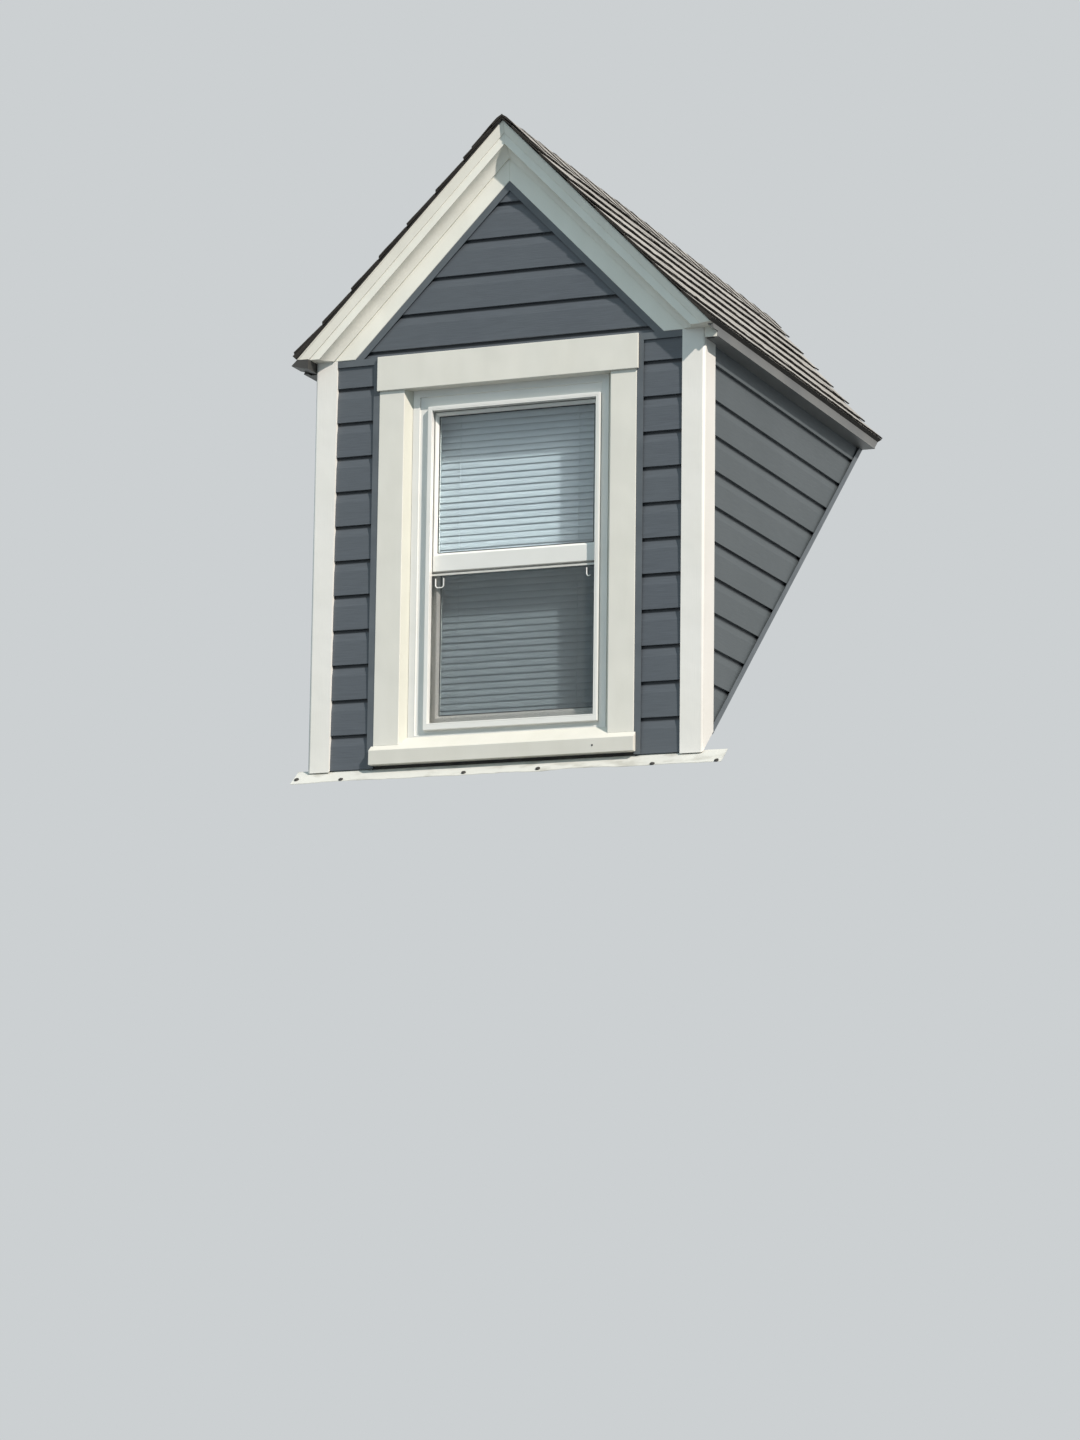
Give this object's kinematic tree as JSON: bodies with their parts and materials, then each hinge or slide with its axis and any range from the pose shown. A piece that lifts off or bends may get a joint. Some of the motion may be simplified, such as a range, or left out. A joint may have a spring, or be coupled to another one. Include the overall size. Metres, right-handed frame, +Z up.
{
  "type": "gabled roof dormer with window",
  "caption": "Gabled roof dormer with a double-hung window, lap-sided cheeks and shingled roof, cut on its underside to sit on a sloping main roof.",
  "frame": {"origin": "on the main roof surface, in the middle of the dormer's front foot, on the underside of the apron flashing", "axes": "+X to the right seen from outside, +Y level and back into the main roof, +Z up"},
  "size_m": [1.483, 2.6147, 2.1573],
  "materials": {
    "framing_timber": "sawn softwood",
    "strand_board": "pressed strand board",
    "painted_plaster_board": "matt wall paint on plaster board",
    "asphalt_shingle": "mineral granules on asphalt",
    "slate_vinyl_siding": "embossed vinyl, low sheen",
    "slate_vinyl_channel": "extruded vinyl, low sheen",
    "white_clad_trim": "bent aluminium cladding, satin enamel",
    "white_vinyl_post": "extruded vinyl, satin",
    "grey_eave_cladding": "bent aluminium cladding, dull enamel",
    "white_window_vinyl": "extruded window vinyl",
    "window_glass": "clear float glass",
    "screen_bar": "roll-formed aluminium, enamel",
    "insect_mesh": "woven glass-fibre mesh",
    "painted_jamb_board": "painted board",
    "blind_slat": "enamelled aluminium slats",
    "white_flashing": "bent coil sheet, weathered"
  },
  "bodies": {
    "root": {"front_wall_frame": "framing_timber", "left_cheek_frame": "framing_timber", "right_cheek_frame": "framing_timber", "ridge_board": "framing_timber", "left_rafters": "framing_timber", "right_rafters": "framing_timber", "front_sheathing": "strand_board", "left_cheek_sheathing": "strand_board", "right_cheek_sheathing": "strand_board", "left_roof_deck": "strand_board", "right_roof_deck": "strand_board", "front_lining": "painted_plaster_board", "left_cheek_lining": "painted_plaster_board", "right_cheek_lining": "painted_plaster_board", "left_ceiling": "painted_plaster_board", "right_ceiling": "painted_plaster_board", "left_shingles": "asphalt_shingle", "right_shingles": "asphalt_shingle", "ridge_caps": "asphalt_shingle", "gable_siding": "slate_vinyl_siding", "left_front_siding": "slate_vinyl_siding", "right_front_siding": "slate_vinyl_siding", "left_cheek_siding": "slate_vinyl_siding", "right_cheek_siding": "slate_vinyl_siding", "gable_channel": "slate_vinyl_channel", "window_channel": "slate_vinyl_channel", "left_slope_channel": "slate_vinyl_channel", "right_slope_channel": "slate_vinyl_channel", "left_rake_frieze": "white_clad_trim", "right_rake_frieze": "white_clad_trim", "left_rake_crown": "white_clad_trim", "right_rake_crown": "white_clad_trim", "head_casing": "white_clad_trim", "left_side_casing": "white_clad_trim", "right_side_casing": "white_clad_trim", "window_sill": "white_clad_trim", "left_corner_post": "white_vinyl_post", "right_corner_post": "white_vinyl_post", "left_eave_fascia": "grey_eave_cladding", "right_eave_fascia": "grey_eave_cladding", "window_frame": "white_window_vinyl", "upper_sash": "white_window_vinyl", "lower_sash": "white_window_vinyl", "upper_glass": "window_glass", "lower_glass": "window_glass", "screen_frame": "screen_bar", "screen_mesh": "insect_mesh", "window_jamb_lining": "painted_jamb_board", "blind": "blind_slat", "apron_flashing": "white_flashing"}
  },
  "joints": []
}
